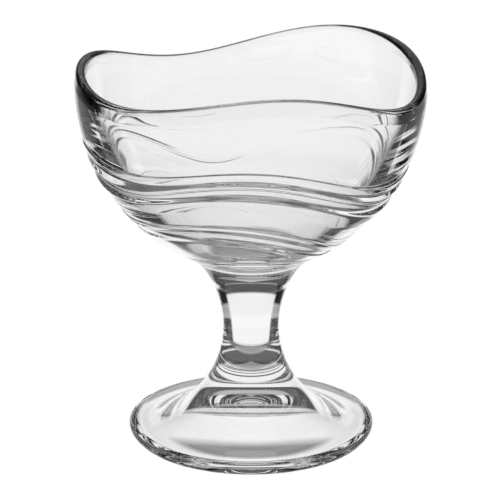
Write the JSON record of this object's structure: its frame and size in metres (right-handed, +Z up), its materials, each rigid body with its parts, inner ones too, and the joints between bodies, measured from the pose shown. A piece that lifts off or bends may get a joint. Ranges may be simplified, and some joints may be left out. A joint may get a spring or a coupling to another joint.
{
  "type": "dessert glass",
  "caption": "Footed dessert glass in clear pressed glass: a round bowl with a wavy lip and wavy ledges, on a waisted solid stem and a round foot, for serving ice cream and desserts.",
  "frame": {"origin": "centre of the ring that the foot stands on, in the plane of the table", "axes": "+Z up along the axis of the bowl and stem; -Y the front, where the lip is low and the mould seam runs; +Y the back, where the lip is highest"},
  "size_m": [0.0991, 0.0993, 0.1137],
  "materials": {
    "clear_glass": "clear colourless pressed glass, fire polished"
  },
  "bodies": {
    "root": {"bowl": "clear_glass", "stem": "clear_glass", "foot": "clear_glass"}
  },
  "joints": []
}
